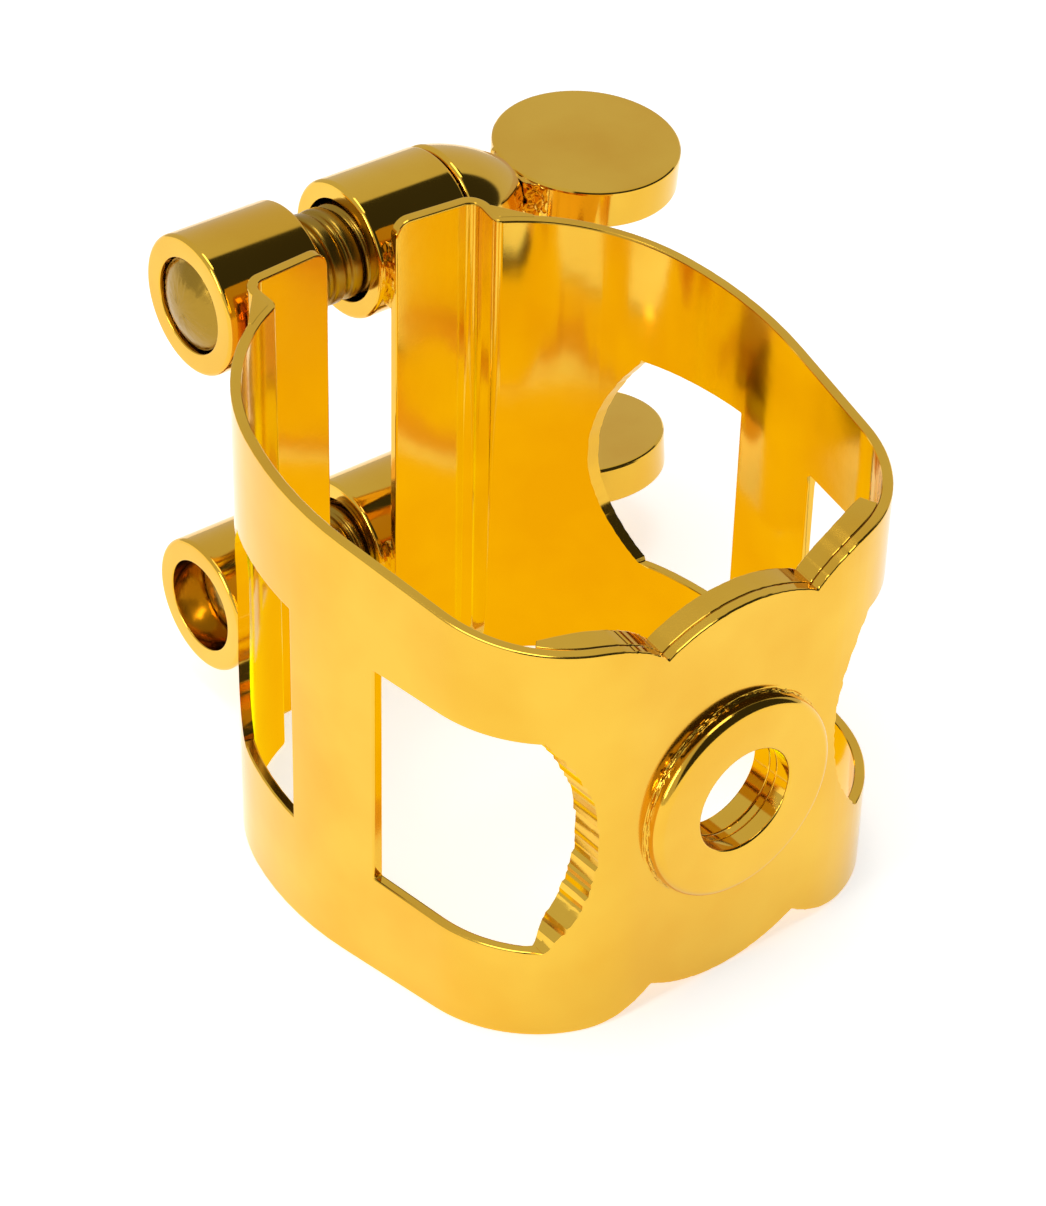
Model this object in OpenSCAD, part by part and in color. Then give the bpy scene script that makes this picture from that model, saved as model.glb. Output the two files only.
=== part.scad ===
// Two-screw ligature for an alto saxophone mouthpiece.
// It stands on its lower rim. The mouthpiece passes through it along +Z, the ringed front plate
// faces -Y, the open side that presses on the reed faces +Y, and the thumb screws run along X.

/* [Band sheet] */
// Thickness of the band sheet
sheet_t = 0.5; // [0.4:0.05:0.6]
// Height of the band on the line of the mouthpiece axis
band_h = 22.25; // [21.5:0.25:23]
// Rise of the upper rim from front to back, in degrees
rim_angle = 9.6; // [8:0.2:10.4]
// Distance from the mouthpiece axis to the outside of the front plate
front_y = 12.35; // [12.2:0.05:12.6]
// Half width of the flat seat in the middle of the front plate
flat_half = 5; // [4.95:0.05:5.2]
// Radius of the gentle curve beside that seat
ease_r = 8.3; // [8:0.1:8.6]
// Radius of the two front corners
corner_r = 6.45; // [6.2:0.05:6.6]
// Length of the straight stretch of each side wall
side_len = 5.5; // [5.2:0.1:5.8]
// Radius of the widest stretch of each side wall
side_r = 17; // [16:0.5:18]
// Radius of the wall where it closes in on the reed rails
rear_r = 10.3; // [10:0.1:10.6]

/* [Reed rails and flanges] */
// Depth of the step from a reed rail out to its flange
step_len = 0.75; // [0.6:0.05:0.9]
// Radius of the bend between the step and the flange
hook_r = 0.8; // [0.7:0.05:0.9]
// Length of the flat flange beyond that bend
flange_len = 3.74; // [3.5:0.02:3.9]
// Radius of the rounded flange corners beside the opening
flange_corner_r = 0.8; // [0.4:0.1:1]

/* [Windows] */
// Height of the D-shaped windows
window_h = 11.25; // [10.5:0.25:12]
// Height of the middle of the windows on the mouthpiece axis
window_z = 11.05; // [10.8:0.05:11.3]
// Slope of the window edges from front to back, in degrees
window_angle = 4; // [3:0.5:5]
// Radius of the round side of each window
window_r = 8.5; // [8:0.1:9]
// Straight edge of the front windows, behind the mouthpiece axis when positive
front_window_y = -3.3; // [-3.8:0.1:-2.8]
// Distance from the middle of the front plate to the round side of the left front window
left_window_x = 7.2; // [6.8:0.1:7.6]
// Distance from the middle of the front plate to the round side of the right front window
right_window_x = 5.8; // [5.7:0.1:6.4]
// Rise of the round side of the right front window above that of the left one
right_window_rise = 0.4; // [0:0.1:0.6]
// Straight edge of the rear windows
rear_window_y = 1.95; // [1.5:0.05:2.4]
// Furthest point of the round side of the rear windows
rear_window_end = 9.5; // [9:0.1:9.7]

/* [Scalloped front plate] */
// Distance from the middle to the notch between two lobes
cusp_x = 4.1; // [3.8:0.1:4.4]
// Depth of the notches below the upper rim
top_cusp = 1.45; // [1.3:0.05:1.6]
// Depth of the notches above the lower rim
low_cusp = 1.1; // [0.9:0.1:1.3]
// Drop of the upper middle lobe below the upper rim
top_lobe_drop = 0.42; // [0.3:0.02:0.6]
// Distance from the middle to where the side lobes run into the rim
lobe_end_x = 7.5; // [7.2:0.1:7.6]
// Thickness of the inner plate that doubles the front
plate_t = 1; // [0.8:0.05:1.1]
// Heading of the left corner where the inner plate ends, in degrees
left_plate_end = 42.5; // [40:0.5:50]
// Heading of the right corner where the inner plate ends, in degrees
right_plate_end = 33; // [30:0.5:40]
// Turn of the corner over which the plate thins out, in degrees
plate_taper = 24; // [15:1:26]
// Thickness of the plate at the end of that turn, as a share of its full thickness
plate_thin = 0.4; // [0.2:0.05:0.8]

/* [Ring boss] */
// Outer radius of the ring
ring_r = 4.92; // [4.6:0.02:5.2]
// Height of the ring above the front plate
ring_t = 0.8; // [0.7:0.02:1]
// Radius of the hole through the ring and the front
ring_bore_r = 2.5; // [2.3:0.05:2.7]
// Height of the ring's centre above the lower rim
ring_z = 9.9; // [9.6:0.1:10.2]
// Bevel of the ring's outer edge
ring_edge = 0.3; // [0.2:0.05:0.4]

/* [Screw barrels] */
// Outer radius of a barrel
barrel_r = 3.38; // [3.2:0.02:3.5]
// Distance from the middle of the opening to the inner end of a barrel
barrel_in = 1.45; // [1.3:0.05:1.6]
// Distance from the middle of the opening to the outer end of a barrel
barrel_out = 6.9; // [6.7:0.1:7.1]
// Bevel of the barrel ends
barrel_edge = 0.2; // [0.15:0.05:0.45]
// Height of the upper screw axis
upper_z = 21.65; // [21.3:0.05:22]
// Height of the lower screw axis
lower_z = 4.96; // [4.8:0.02:5.2]
// Bore radius of the two threaded barrels
thread_bore_r = 2.3; // [2.28:0.01:2.34]
// Bore radius of the two plain barrels
plain_bore_r = 2.5; // [2.4:0.05:2.6]
// Half height of the solder seam between a barrel and its flange
seam_half = 1.7; // [1.5:0.1:1.9]

/* [Thumb screws] */
// Outer radius of the screw thread
thread_r = 2.25; // [2.2:0.01:2.25]
// Depth of the thread
thread_depth = 0.35; // [0.25:0.05:0.45]
// Pitch of the thread
pitch = 1; // [0.9:0.1:1.2]
// Distance of the upper screw's tip to the left of the opening
upper_tip = 7.35; // [6.8:0.05:7.4]
// Distance of the lower screw's tip to the left of the opening
lower_tip = 5.8; // [5.4:0.1:6.2]
// Gap between the barrel and the collar
collar_gap = 0.12; // [0.1:0.01:0.2]
// Length of the domed collar
collar_len = 4.3; // [4.1:0.05:4.4]
// Radius of the collar where it meets the neck
collar_end_r = 1.45; // [1.35:0.05:1.6]
// Radius of the curve that forms the dome
dome_r = 9; // [7:0.5:12]
// Radius of the neck between the collar and the head
neck_r = 0.9; // [0.8:0.05:0.9]
// Radius of the disc head
head_r = 4.6; // [4.4:0.05:4.7]
// Thickness of the disc head
head_t = 2; // [1.8:0.1:2.2]
// Distance from the middle of the opening to the middle of the head
head_x = 16.2; // [16.1:0.05:16.5]
// Depth that the neck reaches into the rim of the head
neck_in = 0.7; // [0.4:0.05:0.7]
// Height of the domed tip
tip_dome = 0.55; // [0.4:0.05:0.8]
// Turn of the upper head away from level
upper_turn = 5; // [-20:1:20]
// Turn of the lower head away from level
lower_turn = -6; // [-20:1:20]

/* [Hidden] */

gold = [0.93, 0.74, 0.33];
solder_gold = [0.85, 0.68, 0.30];
reach = 40;             // length of a cutting tool, well past the band
skin = 0.01;            // overshoot that keeps a cut clean
ease_heading = 14;      // heading where the gentle curve runs into the corner
side_heading = 80.5;    // heading of the straight side wall
wide_heading = 105;     // heading where the wall starts to close in
rear_heading = 156;     // heading of the wall where it meets the reed rail
step_heading = 85;      // heading of the step outside the reed rail
flange_heading = 176;   // heading of the flange
crease_r = 0.3;         // centre-line radius of the fold at the reed rail

// A run along the sheet is a list of [x, y, heading]. The sheet is followed from the middle of
// the front plate, with the inside of the band on the left.
function bend(s, r, h) = [s.x + r * (sin(h) - sin(s[2])), s.y + r * (cos(s[2]) - cos(h)), h];
function bend_run(s, r, h, n) = [for (i = [1:n]) bend(s, r, s[2] + (h - s[2]) * i / n)];
function straight(s, d) = [s.x + d * cos(s[2]), s.y + d * sin(s[2]), s[2]];
function last(run) = run[len(run) - 1];
function beside(s, d) = [s.x - d * sin(s[2]), s.y + d * cos(s[2])];
function side_points(run, d) = [for (s = run) beside(s, d)];
function reversed(list) = [for (i = [len(list) - 1:-1:0]) list[i]];
function mirrored(points) = [for (p = points) [-p.x, p.y]];

// Centre line of the right half of the sheet
half_t = sheet_t / 2;
run_start = [0, -front_y + half_t, 0];
flat_end = straight(run_start, flat_half);
ease_run = bend_run(flat_end, ease_r - half_t, ease_heading, 4);
front_run = concat([run_start, flat_end], ease_run);
corner_run = bend_run(last(front_run), corner_r - half_t, side_heading, 14);
side_start = straight(last(corner_run), side_len);
wide_run = bend_run(side_start, side_r - half_t, wide_heading, 8);
rear_run = bend_run(last(wide_run), rear_r - half_t, rear_heading, 12);
crease_run = bend_run(last(rear_run), -crease_r, step_heading, 5);
step_end = straight(last(crease_run), step_len);
hook_run = bend_run(step_end, hook_r, flange_heading, 8);
flange_end = straight(last(hook_run), flange_len);
half_run = concat(front_run, corner_run, [side_start], wide_run, rear_run,
    crease_run, [step_end], hook_run, [flange_end]);

// The screws sit behind the flanges, and their barrels touch the outer corner of the flange
flange_back = beside(flange_end, -half_t).y;
screw_y = flange_back + barrel_r;

function rim_z(y) = band_h + y * tan(rim_angle);
function window_mid(y) = window_z + y * tan(window_angle);
function front_at(x) = lookup(x, side_points(concat(front_run, corner_run), -half_t));

// Wall between two sides of a run, closed across the middle of the front
module wall_plan(outer, inner) {
    polygon(concat(reversed(mirrored(outer)), outer, reversed(inner), mirrored(inner)));
}

// Everything below the sloping upper rim
module below_rim() {
    rotate([90, 0, 90])
        linear_extrude(height = 2 * reach, center = true)
            polygon([[-reach, 0], [reach, 0], [reach, rim_z(reach)], [-reach, rim_z(-reach)]]);
}

// Points of an arc in a plane, from a start to an end angle about a centre
function arc_points(centre, r, from, to, n) =
    [for (i = [0:n]) [centre[0] + r * cos(from + (to - from) * i / n),
                      centre[1] + r * sin(from + (to - from) * i / n)]];

// Half of a scalloped edge, with heights above the rim: a middle lobe at height lobe down to the
// notch at height cusp, then a side lobe up to the rim
function scallop_half(lobe, cusp) =
    let (fall = lobe - cusp,
         mid_r = (cusp_x * cusp_x + fall * fall) / (2 * fall),
         mid_end = asin(cusp_x / mid_r),
         run_x = lobe_end_x - cusp_x,
         side_lobe_r = (run_x * run_x + cusp * cusp) / (-2 * cusp),
         side_from = asin(run_x / side_lobe_r))
    concat(arc_points([0, lobe - mid_r], mid_r, 90, 90 - mid_end, 10),
           arc_points([lobe_end_x, -side_lobe_r], side_lobe_r, 90 + side_from, 90, 10));

// Tool that cuts the scallops into an upper rim at the origin, which rises to the back by slope
module scallop_cut(lobe, cusp, slope) {
    half = scallop_half(lobe, cusp);
    edge = concat(reversed(mirrored(half)), half);
    behind = 4;     // reach of the tool behind the outside of the front plate
    rotate([90 + slope, 0, 0])
        translate([0, 0, -behind])
            linear_extrude(height = 3 * behind)
                polygon(concat(edge, [[lobe_end_x, reach], [-lobe_end_x, reach]]));
}

module front_scallops() {
    translate([0, -front_y, rim_z(-front_y)])
        scallop_cut(-top_lobe_drop, -top_cusp, rim_angle);
    translate([0, -front_y, 0])
        mirror([0, 0, 1])
            scallop_cut(0, -low_cusp, 0);
}

// Band between the lower and upper edges of the windows
module window_slab() {
    rotate([90, 0, 90])
        linear_extrude(height = 2 * reach, center = true)
            polygon([for (c = [[-1, -1], [1, -1], [1, 1], [-1, 1]])
                [c[0] * reach, window_mid(c[0] * reach) + c[1] * window_h / 2]]);
}

// D outlines, each a round end with a straight run away from it
module front_window_cut(x, rise) {
    z = window_mid(front_at(x)) + rise;
    intersection() {
        window_slab();
        translate([0, front_window_y, 0])
            rotate([90, 0, 0])
                linear_extrude(height = reach)
                    union() {
                        translate([x + window_r, z])
                            circle(r = window_r, $fn = 96);
                        translate([x + window_r, z - window_r])
                            square([reach, 2 * window_r]);
                    }
    }
}

module front_windows() {
    front_window_cut(right_window_x, right_window_rise);
    mirror([1, 0, 0])
        front_window_cut(left_window_x, 0);
}

module rear_window_cut() {
    round_y = rear_window_end - window_r;
    intersection() {
        window_slab();
        rotate([90, 0, 90])
            linear_extrude(height = reach)
                intersection() {
                    union() {
                        translate([round_y, window_mid(rear_window_end)])
                            circle(r = window_r, $fn = 96);
                        translate([round_y - reach, window_mid(rear_window_end) - window_r])
                            square([reach, 2 * window_r]);
                    }
                    translate([rear_window_y, -reach])
                        square([reach, 3 * reach]);
                }
    }
}

module ring_bore() {
    translate([0, 0, ring_z])
        rotate([90, 0, 0])
            cylinder(r = ring_bore_r, h = reach, $fn = 96);
}

// Rounds one free corner of a flange, in the x-z plane at the end of the flange
module corner_cut(z, up) {
    r = flange_corner_r;
    over = 1;   // reach of the tool past the corner
    translate([flange_end.x, screw_y, z])
        rotate([90, 0, 0])
            linear_extrude(height = 2 * barrel_r)
                difference() {
                    translate([-over, up > 0 ? -r : -over])
                        square([over + r, over + r]);
                    translate([r, -up * r])
                        circle(r = r, $fn = 48);
                }
}

module both_sides() {
    children();
    mirror([1, 0, 0])
        children();
}

// One bent sheet, open at the back, with four windows and a scalloped front
module band() {
    color(gold)
        difference() {
            intersection() {
                linear_extrude(height = reach)
                    wall_plan(side_points(half_run, -half_t), side_points(half_run, half_t));
                below_rim();
            }
            front_scallops();
            front_windows();
            both_sides() {
                rear_window_cut();
                corner_cut(rim_z(flange_end.y), 1);
                corner_cut(0, -1);
            }
            ring_bore();
        }
}

// Plate that doubles the front from inside, cut to the same outline as the band. It thins out
// in the corners.
module inner_plate() {
    corner = bend_run(last(front_run), corner_r - half_t, left_plate_end, 8);
    run = concat(front_run, corner);
    right_end = bend(last(front_run), corner_r - half_t, right_plate_end);
    function share(s) = plate_thin + (1 - plate_thin) * (left_plate_end - s[2]) / plate_taper;
    function depth(s) = half_t + plate_t * min(1, share(s));
    color(gold)
        difference() {
            intersection() {
                linear_extrude(height = reach)
                    wall_plan(side_points(run, half_t), [for (s = run) beside(s, depth(s))]);
                below_rim();
            }
            front_scallops();
            front_windows();
            ring_bore();
            translate([right_end.x, right_end.y, -skin])
                rotate([0, 0, right_plate_end])
                    translate([0, -reach / 2, 0])
                        cube([reach, reach, reach]);
        }
}

// Raised ring around the hole, soldered to the flat seat of the front plate
module ring_boss() {
    color(gold)
        translate([0, -front_y - ring_t, ring_z])
            rotate([-90, 0, 0])
                rotate_extrude($fn = 96)
                    polygon([[ring_bore_r, 0], [ring_r - ring_edge, 0], [ring_r, ring_edge],
                             [ring_r, ring_t], [ring_bore_r, ring_t]]);
}

// Solder in the crease behind a reed rail, between the wall and the step
module crease_solder() {
    wall = [for (i = [3:-1:1]) rear_run[len(rear_run) - i]];
    color(solder_gold)
        intersection() {
            linear_extrude(height = reach)
                polygon(side_points(concat(wall, crease_run, [step_end]), -half_t));
            below_rim();
        }
}

// Barrel lying along X between two distances from the middle of the opening
module barrel(z, bore_r) {
    length = barrel_out - barrel_in;
    e = barrel_edge;
    bore_edge = 0.2;
    color(gold)
        translate([barrel_in, screw_y, z])
            rotate([0, 90, 0])
                rotate_extrude($fn = 96)
                    polygon([[bore_r, bore_edge], [bore_r + bore_edge, 0], [barrel_r - e, 0],
                             [barrel_r, e], [barrel_r, length - e], [barrel_r - e, length],
                             [bore_r + bore_edge, length], [bore_r, length - bore_edge]]);
}

// Solder between a barrel and its flange
module seam(z) {
    from_x = flange_end.x;
    to_x = last(hook_run).x;
    deep_y = screw_y - 0.77 * barrel_r;     // inside the barrel, which is then cut away
    back_run = side_points([last(hook_run), flange_end], -half_t);
    color(solder_gold)
        difference() {
            translate([0, 0, z - seam_half])
                linear_extrude(height = 2 * seam_half)
                    polygon(concat(back_run, [[from_x, deep_y], [to_x, deep_y]]));
            translate([0, screw_y, z])
                rotate([0, 90, 0])
                    cylinder(r = barrel_r, h = reach, $fn = 96);
        }
}

// Points of the grooved shank in the half plane of the screw, from its tip to the collar
function thread_profile(from, to) =
    let (turns = floor((to - from) / pitch))
    [for (i = [0:turns - 1]) each [
        [thread_r, from + i * pitch],
        [thread_r, from + (i + 0.5) * pitch],
        [thread_r - thread_depth, from + (i + 0.65) * pitch],
        [thread_r - thread_depth, from + (i + 0.85) * pitch]]];

// Threaded shank with its neck, about the screw axis along +X
module screw(z, tip) {
    shoulder = barrel_out + collar_gap;
    neck_end = head_x - head_r + neck_in;
    tip_r = thread_r - skin;
    tip_points = [for (a = [0:15:75]) [tip_r * sin(a), -tip + tip_dome * (1 - cos(a))]];
    color(gold)
        translate([0, screw_y, z])
            rotate([0, 90, 0])
                rotate_extrude($fn = 72)
                    polygon(concat(tip_points, thread_profile(-tip + tip_dome, shoulder - pitch / 2),
                        [[thread_r, shoulder - pitch / 2], [thread_r, shoulder - skin],
                         [neck_r, shoulder - skin], [neck_r, neck_end], [0, neck_end]]));
}

// Domed collar that bears on the end of the plain barrel
module collar(z) {
    bore = neck_r + 0.05;
    lip = 0.25;             // bevel of the edge beside the barrel
    start = [barrel_r - 0.03, lip];
    end = [collar_end_r, collar_len];
    chord = norm(end - start);
    middle = (start + end) / 2;
    outward = [end.y - start.y, start.x - end.x] / chord;
    centre = middle - outward * sqrt(dome_r * dome_r - chord * chord / 4);
    from = atan2(start.y - centre.y, start.x - centre.x);
    to = atan2(end.y - centre.y, end.x - centre.x);
    color(gold)
        translate([barrel_out + collar_gap, screw_y, z])
            rotate([0, 90, 0])
                rotate_extrude($fn = 96)
                    polygon(concat([[bore, 0], [barrel_r - lip, 0]],
                        arc_points(centre, dome_r, from, to, 12), [[bore, collar_len]]));
}

// Places a level head or its solder on the screw axis, turned about that axis
module on_head(z, turn) {
    translate([head_x, screw_y, z])
        rotate([turn, 0, 0])
            children();
}

// Flat disc that the player turns
module head(z, turn) {
    e = 0.15;
    color(gold)
        difference() {
            on_head(z, turn)
                rotate_extrude($fn = 120)
                    polygon([[0, -head_t / 2], [head_r - e, -head_t / 2], [head_r, e - head_t / 2],
                             [head_r, head_t / 2 - e], [head_r - e, head_t / 2], [0, head_t / 2]]);
            translate([head_x - 2 * head_r, screw_y, z])
                rotate([0, 90, 0])
                    cylinder(r = neck_r, h = head_r + neck_in, $fn = 72);
        }
}

// Solder in the two corners between the neck and the rim of the head
module head_solder(z, turn) {
    near = head_r + 0.23;   // the fillet runs from here, beside the neck,
    far = head_r - 0.7;     // to here, on the rim of the disc
    near_half = 1.3;
    far_half = 2.4;
    thick = 1.7;
    color(solder_gold)
        difference() {
            on_head(z, turn)
                linear_extrude(height = thick, center = true)
                    polygon([[-near, -near_half], [-near, near_half],
                             [-far, far_half], [-far, -far_half]]);
            on_head(z, turn)
                cylinder(r = head_r, h = 2 * head_t, center = true, $fn = 120);
            translate([0, screw_y, z])
                rotate([0, 90, 0])
                    cylinder(r = neck_r, h = reach, $fn = 72);
        }
}

band();
inner_plate();
ring_boss();
crease_solder();  // right_crease_solder
mirror([1, 0, 0]) crease_solder();  // left_crease_solder
mirror([1, 0, 0]) barrel(upper_z, thread_bore_r);  // upper_left_barrel
mirror([1, 0, 0]) barrel(lower_z, thread_bore_r);  // lower_left_barrel
barrel(upper_z, plain_bore_r);  // upper_right_barrel
barrel(lower_z, plain_bore_r);  // lower_right_barrel
mirror([1, 0, 0]) seam(upper_z);  // upper_left_seam
mirror([1, 0, 0]) seam(lower_z);  // lower_left_seam
seam(upper_z);  // upper_right_seam
seam(lower_z);  // lower_right_seam
screw(upper_z, upper_tip);  // upper_screw
screw(lower_z, lower_tip);  // lower_screw
collar(upper_z);  // upper_collar
collar(lower_z);  // lower_collar
head(upper_z, upper_turn);  // upper_head
head(lower_z, lower_turn);  // lower_head
head_solder(upper_z, upper_turn);  // upper_head_solder
head_solder(lower_z, lower_turn);  // lower_head_solder
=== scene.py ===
"""Two-screw saxophone ligature in gold-plated brass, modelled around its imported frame."""

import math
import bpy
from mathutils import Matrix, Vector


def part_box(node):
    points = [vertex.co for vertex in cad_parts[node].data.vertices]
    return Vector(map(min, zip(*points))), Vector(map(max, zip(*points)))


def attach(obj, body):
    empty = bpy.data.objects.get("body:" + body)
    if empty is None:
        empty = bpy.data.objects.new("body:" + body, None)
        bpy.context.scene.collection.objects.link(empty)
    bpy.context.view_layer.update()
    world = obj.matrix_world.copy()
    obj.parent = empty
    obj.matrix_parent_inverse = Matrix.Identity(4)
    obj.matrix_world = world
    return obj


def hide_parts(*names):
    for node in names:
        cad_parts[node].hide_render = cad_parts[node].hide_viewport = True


bl_info = {
    "name": "Saxophone ligature",
    "version": (1, 0, 0),
    "blender": (4, 5, 0),
    "location": "3D View > Sidebar > Ligature",
    "description": "Models a two-screw saxophone ligature and its studio around the CAD frame",
    "category": "Add Mesh",
}

import bpy
from mathutils import Matrix, Vector

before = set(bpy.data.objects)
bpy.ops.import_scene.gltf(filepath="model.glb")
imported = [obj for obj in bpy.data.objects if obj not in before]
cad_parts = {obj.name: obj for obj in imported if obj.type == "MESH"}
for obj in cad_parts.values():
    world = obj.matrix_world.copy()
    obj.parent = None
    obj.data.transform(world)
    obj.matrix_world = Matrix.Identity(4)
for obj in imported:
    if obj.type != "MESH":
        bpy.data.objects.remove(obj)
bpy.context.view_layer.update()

MM = 0.001
BAND = "band_body"
TABLE_R = 0.3
SIDES = {"left": -1, "right": 1}
LEVELS = ("upper", "lower")


# Properties that a user would change


def linear(hex_colour):
    """An sRGB hex colour as linear red, green and blue."""
    parts = [int(hex_colour[i : i + 2], 16) / 255 for i in (1, 3, 5)]
    return tuple(c / 12.92 if c <= 0.04045 else ((c + 0.055) / 1.055) ** 2.4 for c in parts)


def length(name, description, mm):
    return bpy.props.FloatProperty(
        name=name, description=description, default=mm * MM, unit="LENGTH", precision=6
    )


def angle(name, description, degrees):
    return bpy.props.FloatProperty(
        name=name, description=description, default=math.radians(degrees), unit="ROTATION"
    )


def colour(name, description, hex_colour):
    return bpy.props.FloatVectorProperty(
        name=name, description=description, default=linear(hex_colour), subtype="COLOR", min=0, max=1
    )


def number(name, description, value):
    return bpy.props.FloatProperty(name=name, description=description, default=value, min=0)


class BandSizes(bpy.types.PropertyGroup):
    """Sizes of the bent sheet and its openings."""

    sheet: length("Sheet", "Thickness of the band sheet", 0.5)
    height: length("Height", "Height of the band on the mouthpiece axis", 22.25)
    rim_slope: angle("Rim slope", "Rise of the upper rim from front to back", 9.6)
    front: length("Front", "Distance from the mouthpiece axis to the front plate", 12.35)
    flat_half: length("Seat", "Half width of the flat seat under the ring", 5)
    ease_r: length("Ease radius", "Radius of the gentle curve beside the seat", 8.3)
    ease_end: angle("Ease heading", "Heading where that curve ends", 14)
    corner_r: length("Corner radius", "Radius of the front corners", 6.45)
    corner_end: angle("Corner heading", "Heading where a front corner ends", 80.5)
    side: length("Side", "Length of the straight stretch of each side", 5.5)
    side_r: length("Side radius", "Radius of the widest stretch", 17)
    side_end: angle("Side heading", "Heading where the wall starts to close in", 105)
    rear_r: length("Rear radius", "Radius of the closing wall", 10.3)
    rear_end: angle("Rear heading", "Heading of the wall at the reed rail", 156)
    crease_r: length("Crease radius", "Radius of the fold at the reed rail", 0.3)
    crease_end: angle("Crease heading", "Heading of the step out to the flange", 85)
    step: length("Step", "Depth of the step out to the flange", 0.75)
    hook_r: length("Hook radius", "Radius of the bend into the flange", 0.8)
    hook_end: angle("Flange heading", "Heading of the flange", 176)
    flange: length("Flange", "Length of the flat flange", 3.74)
    flange_corner: length("Flange corner", "Radius of the rounded flange corners", 0.8)
    plate: length("Plate", "Thickness of the inner plate", 1.0)
    plate_left: angle("Plate left end", "Heading of the left corner where the plate ends", 42.5)
    plate_right: angle("Plate right end", "Heading of the right corner where it ends", 33)
    plate_taper: angle("Plate taper", "Turn of the corner over which the plate thins out", 24)
    plate_thin: length("Plate edge", "Thickness left at the left end of the plate", 0.4)
    low_left: length("Left low end", "Where the plate ends below the left window", 9.3)
    low_right: length("Right low end", "Where the plate ends below the right window", 8.3)
    low_lean: length("Low lean", "How far the low ends lean to the middle", 1.15)
    solder_turn: angle("Solder turn", "Turn of the wall over which solder fills the crease", 8.5)
    edge: length("Edge", "Width of the polished-off sharp edge", 0.09)


class WindowSizes(bpy.types.PropertyGroup):
    """Sizes of the D windows and the scalloped edges."""

    height: length("Height", "Height of the windows", 11.25)
    middle: length("Middle", "Height of the middle of the windows on the mouthpiece axis", 11.05)
    slope: angle("Slope", "Slope of the window edges from front to back", 4)
    round_r: length("Round side", "Radius of the round side", 8.5)
    front_edge: length("Front edge", "Straight edge of the front windows", -3.3)
    left_reach: length("Left reach", "Middle of the plate to the left round side", 7.2)
    right_reach: length("Right reach", "Middle of the plate to the right round side", 5.8)
    right_rise: length("Right rise", "Rise of the right front round side above the left one", 0.4)
    rear_edge: length("Rear edge", "Straight edge of the rear windows", 1.95)
    rear_reach: length("Rear reach", "Furthest point of the round side of the rear windows", 9.5)
    cusp: length("Notch", "Middle of the plate to the notch between two lobes", 4.1)
    lobe_end: length("Lobe end", "Where the side lobes run into the rim", 7.5)
    top_cusp: length("Top notch", "Depth of the upper notches", 1.45)
    low_cusp: length("Low notch", "Depth of the lower notches", 1.1)
    lobe_drop: length("Lobe drop", "Drop of the upper middle lobe below the rim", 0.42)
    file_mark: length("File marks", "Depth of the file marks on the round sides", 0.06)
    scallop_mark: length("Scallop marks", "Depth of the file marks on the scallops", 0.016)


class TurnedSizes(bpy.types.PropertyGroup):
    """Sizes of the ring, barrels, screws and heads that the frame's boxes don't give."""

    ring_bore: length("Ring bore", "Radius of the hole through the ring and the front", 2.5)
    ring_edge: length("Ring edge", "Rounding of the ring's outer edge", 0.42)
    ring_fillet: length("Ring fillet", "Radius of the solder round the foot of the ring", 0.2)
    barrel_edge: length("Barrel edge", "Rounding of the barrel ends", 0.22)
    bore_edge: length("Bore edge", "Rounding of the bore's ends", 0.07)
    bore_left: length("Threaded bore", "Radius of the threaded barrels' bore", 2.3)
    bore_right: length("Plain bore", "Radius of the plain barrels' bore", 2.5)
    thread_r: length("Thread", "Outer radius of the thread", 2.25)
    thread_depth: length("Thread depth", "Depth of the thread", 0.22)
    tip_dome: length("Tip dome", "Height of the domed tip", 0.75)
    pitch: length("Pitch", "Pitch of the thread", 1.0)
    neck_r: length("Neck", "Radius of the neck between collar and head", 0.9)
    collar_end: length("Collar end", "Radius of the collar at the neck", 1.45)
    dome_r: length("Dome", "Radius of the collar's domed side", 9)
    head_thick: length("Head thickness", "Thickness of the disc heads", 2)
    head_edge: length("Head edge", "Rounding of the head's edges", 0.16)
    upper_turn: angle("Upper turn", "Turn of the upper head away from level", 5)
    lower_turn: angle("Lower turn", "Turn of the lower head away from level", -6)


class Finishes(bpy.types.PropertyGroup):
    """Colours of the metal and the studio."""

    gold: colour("Gold", "Plated gold", "#EABC45")
    gold_deep: colour("Deep gold", "Gold where the plate is thin", "#E4B13B")
    # The screws' colour is partly a duller plate and partly painted shade: it is darkened to stand
    # in for the dim reflections on the domed tips and threads
    dull_and_shade: colour("Dull gold", "Thin dull plate on the screws", "#A5822F")
    solder: colour("Solder", "Gold over the solder", "#E6B244")
    floor: colour("Floor", "Pale table top", "#F6F6F4")
    floor_glow: number("Floor glow", "Light given by the table top", 0.58)
    warm: colour("Warm card", "Card inside the ring that warms its inner walls", "#FFE018")
    backdrop: number("Backdrop", "Brightness of the room behind the object", 0.66)
    dark: number("Dark side", "Brightness of the room in front of the object", 0.04)
    overhead: number("Soft box", "Power of the light overhead in watts", 0.5)
    window: number("Window", "Power of the light on the left in watts", 0.9)


# Tools for modelling


def operate(mode):
    """Switches the active piece to a mode, if it isn't there already."""
    if bpy.context.object and bpy.context.object.mode != mode:
        bpy.ops.object.mode_set(mode=mode)


def begin():
    """Leaves edit mode and deselects everything, so that an operator acts on new things alone."""
    operate("OBJECT")
    bpy.ops.object.select_all(action="DESELECT")


def activate(piece):
    begin()
    piece.select_set(True)
    bpy.context.view_layer.objects.active = piece


def named(name):
    """Names the object just added and returns it."""
    piece = bpy.context.object
    piece.name = piece.data.name = name
    return piece


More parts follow.
